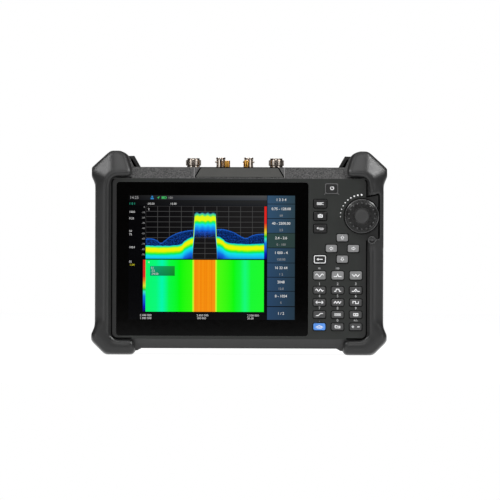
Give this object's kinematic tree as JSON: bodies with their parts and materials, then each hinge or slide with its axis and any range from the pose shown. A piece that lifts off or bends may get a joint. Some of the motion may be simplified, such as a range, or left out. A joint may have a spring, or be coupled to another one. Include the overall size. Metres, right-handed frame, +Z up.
{
  "type": "handheld spectrum analyzer",
  "caption": "Wide rugged test instrument: two part case between rubber corner bumpers, touch display, keypad, jog wheel, RF sockets on top and a fold-out stand on the back.",
  "frame": {"origin": "on the ground, in the middle of the width and of the depth", "axes": "+X to the right seen from the front, +Y to the back, +Z up; the display faces -Y"},
  "size_m": [0.3032, 0.078, 0.2093],
  "materials": {
    "case_plastic": "fine matt",
    "seal_rubber": "matt",
    "bumper_rubber": "satin",
    "plate": "matt",
    "tray": "matt",
    "touch_glass": "gloss black with a lit screen",
    "display": "gloss",
    "sheet_metal": "brushed",
    "board": "green solder mask",
    "number_keys": "satin dark grey",
    "blue_key": "satin blue",
    "grey_keys": "satin light grey",
    "dark_keys": "satin black",
    "bezel": "light grey",
    "wheel": "satin",
    "button": "satin",
    "inner_plastic": "matt",
    "cover": "fine matt",
    "steel": "bright",
    "stand": "matt",
    "nickel": "nickel plated",
    "gold": "gold plated",
    "insulator": "white"
  },
  "bodies": {
    "case": {"front_case": "case_plastic", "rear_case": "case_plastic", "case_seal": "seal_rubber", "left_bumper": "bumper_rubber", "right_bumper": "bumper_rubber", "nameplate": "plate", "touch_glass": "touch_glass", "display_panel": "display", "display_frame": "sheet_metal", "keypad_board": "board", "dome_sheet": "seal_rubber", "power_bezel": "bezel", "encoder_housing": "inner_plastic", "main_board": "board", "rf_shield": "sheet_metal", "heat_spreader": "sheet_metal", "battery_pack": "inner_plastic", "battery_cover": "cover", "battery_screws": "steel", "kickstand_pins": "steel", "connector_tray": "tray", "rf_input_connector": "nickel", "rf_output_connector": "nickel", "left_bayonet_connector": "nickel", "right_bayonet_connector": "nickel", "left_small_connector": "gold", "right_small_connector": "gold", "connector_insulators": "insulator", "connector_contacts": "gold", "connector_nuts": "steel", "case_screws": "steel"},
    "wheel": {"jog_wheel": "wheel", "wheel_retainer": "steel"},
    "enter": {"enter_button": "button"},
    "stand": {"kickstand": "stand", "kickstand_foot": "bumper_rubber"},
    "blue_shift_key": {"key_blue_shift": "blue_key"},
    "zero_key": {"key_zero": "number_keys"},
    "sign_key": {"key_sign": "number_keys"},
    "seven_key": {"key_seven": "number_keys"},
    "eight_key": {"key_eight": "number_keys"},
    "nine_key": {"key_nine": "number_keys"},
    "four_key": {"key_four": "number_keys"},
    "five_key": {"key_five": "number_keys"},
    "six_key": {"key_six": "number_keys"},
    "one_key": {"key_one": "number_keys"},
    "two_key": {"key_two": "number_keys"},
    "three_key": {"key_three": "number_keys"},
    "grey_left_key": {"key_grey_left": "grey_keys"},
    "grey_middle_key": {"key_grey_middle": "grey_keys"},
    "grey_right_key": {"key_grey_right": "grey_keys"},
    "menu_lower_key": {"key_menu_lower": "dark_keys"},
    "menu_middle_key": {"key_menu_middle": "dark_keys"},
    "menu_upper_key": {"key_menu_upper": "dark_keys"},
    "escape_key": {"key_escape": "dark_keys"},
    "power_key": {"key_power": "dark_keys"},
    "arrow_up_key": {"key_arrow_up": "grey_keys"},
    "arrow_left_key": {"key_arrow_left": "grey_keys"},
    "arrow_right_key": {"key_arrow_right": "grey_keys"},
    "arrow_down_key": {"key_arrow_down": "grey_keys"}
  },
  "joints": [
    {"name": "blue_shift_press", "type": "slide", "parent": "case", "child": "blue_shift_key", "axis": [0, 1, 0], "range_m": [0, 0.001], "stiffness_N_per_m": 1000, "springref_m": -0.0006},
    {"name": "zero_press", "type": "slide", "parent": "case", "child": "zero_key", "axis": [0, 1, 0], "range_m": [0, 0.001], "stiffness_N_per_m": 1000, "springref_m": -0.0006},
    {"name": "sign_press", "type": "slide", "parent": "case", "child": "sign_key", "axis": [0, 1, 0], "range_m": [0, 0.001], "stiffness_N_per_m": 1000, "springref_m": -0.0006},
    {"name": "seven_press", "type": "slide", "parent": "case", "child": "seven_key", "axis": [0, 1, 0], "range_m": [0, 0.001], "stiffness_N_per_m": 1000, "springref_m": -0.0006},
    {"name": "eight_press", "type": "slide", "parent": "case", "child": "eight_key", "axis": [0, 1, 0], "range_m": [0, 0.001], "stiffness_N_per_m": 1000, "springref_m": -0.0006},
    {"name": "nine_press", "type": "slide", "parent": "case", "child": "nine_key", "axis": [0, 1, 0], "range_m": [0, 0.001], "stiffness_N_per_m": 1000, "springref_m": -0.0006},
    {"name": "four_press", "type": "slide", "parent": "case", "child": "four_key", "axis": [0, 1, 0], "range_m": [0, 0.001], "stiffness_N_per_m": 1000, "springref_m": -0.0006},
    {"name": "five_press", "type": "slide", "parent": "case", "child": "five_key", "axis": [0, 1, 0], "range_m": [0, 0.001], "stiffness_N_per_m": 1000, "springref_m": -0.0006},
    {"name": "six_press", "type": "slide", "parent": "case", "child": "six_key", "axis": [0, 1, 0], "range_m": [0, 0.001], "stiffness_N_per_m": 1000, "springref_m": -0.0006},
    {"name": "one_press", "type": "slide", "parent": "case", "child": "one_key", "axis": [0, 1, 0], "range_m": [0, 0.001], "stiffness_N_per_m": 1000, "springref_m": -0.0006},
    {"name": "two_press", "type": "slide", "parent": "case", "child": "two_key", "axis": [0, 1, 0], "range_m": [0, 0.001], "stiffness_N_per_m": 1000, "springref_m": -0.0006},
    {"name": "three_press", "type": "slide", "parent": "case", "child": "three_key", "axis": [0, 1, 0], "range_m": [0, 0.001], "stiffness_N_per_m": 1000, "springref_m": -0.0006},
    {"name": "grey_left_press", "type": "slide", "parent": "case", "child": "grey_left_key", "axis": [0, 1, 0], "range_m": [0, 0.001], "stiffness_N_per_m": 1000, "springref_m": -0.0006},
    {"name": "grey_middle_press", "type": "slide", "parent": "case", "child": "grey_middle_key", "axis": [0, 1, 0], "range_m": [0, 0.001], "stiffness_N_per_m": 1000, "springref_m": -0.0006},
    {"name": "grey_right_press", "type": "slide", "parent": "case", "child": "grey_right_key", "axis": [0, 1, 0], "range_m": [0, 0.001], "stiffness_N_per_m": 1000, "springref_m": -0.0006},
    {"name": "menu_lower_press", "type": "slide", "parent": "case", "child": "menu_lower_key", "axis": [0, 1, 0], "range_m": [0, 0.001], "stiffness_N_per_m": 1000, "springref_m": -0.0006},
    {"name": "menu_middle_press", "type": "slide", "parent": "case", "child": "menu_middle_key", "axis": [0, 1, 0], "range_m": [0, 0.001], "stiffness_N_per_m": 1000, "springref_m": -0.0006},
    {"name": "menu_upper_press", "type": "slide", "parent": "case", "child": "menu_upper_key", "axis": [0, 1, 0], "range_m": [0, 0.001], "stiffness_N_per_m": 1000, "springref_m": -0.0006},
    {"name": "escape_press", "type": "slide", "parent": "case", "child": "escape_key", "axis": [0, 1, 0], "range_m": [0, 0.001], "stiffness_N_per_m": 1000, "springref_m": -0.0006},
    {"name": "power_press", "type": "slide", "parent": "case", "child": "power_key", "axis": [0, 1, 0], "range_m": [0, 0.001], "stiffness_N_per_m": 1000, "springref_m": -0.0006},
    {"name": "arrow_up_press", "type": "slide", "parent": "case", "child": "arrow_up_key", "axis": [0, 1, 0], "range_m": [0, 0.001], "stiffness_N_per_m": 1000, "springref_m": -0.0006},
    {"name": "arrow_left_press", "type": "slide", "parent": "case", "child": "arrow_left_key", "axis": [0, 1, 0], "range_m": [0, 0.001], "stiffness_N_per_m": 1000, "springref_m": -0.0006},
    {"name": "arrow_right_press", "type": "slide", "parent": "case", "child": "arrow_right_key", "axis": [0, 1, 0], "range_m": [0, 0.001], "stiffness_N_per_m": 1000, "springref_m": -0.0006},
    {"name": "arrow_down_press", "type": "slide", "parent": "case", "child": "arrow_down_key", "axis": [0, 1, 0], "range_m": [0, 0.001], "stiffness_N_per_m": 1000, "springref_m": -0.0006},
    {"name": "wheel_turn", "type": "hinge", "parent": "case", "child": "wheel", "pos_m": [0.1255, -0.033, 0.1427], "axis": [0, 1, 0], "continuous": true},
    {"name": "enter_press", "type": "slide", "parent": "case", "child": "enter", "axis": [0, 1, 0], "range_m": [0, 0.0008], "stiffness_N_per_m": 1200, "springref_m": -0.0006},
    {"name": "stand_fold", "type": "hinge", "parent": "case", "child": "stand", "pos_m": [0, 0.0328, 0.125], "axis": [1, 0, 0], "range_deg": [0, 50]}
  ]
}
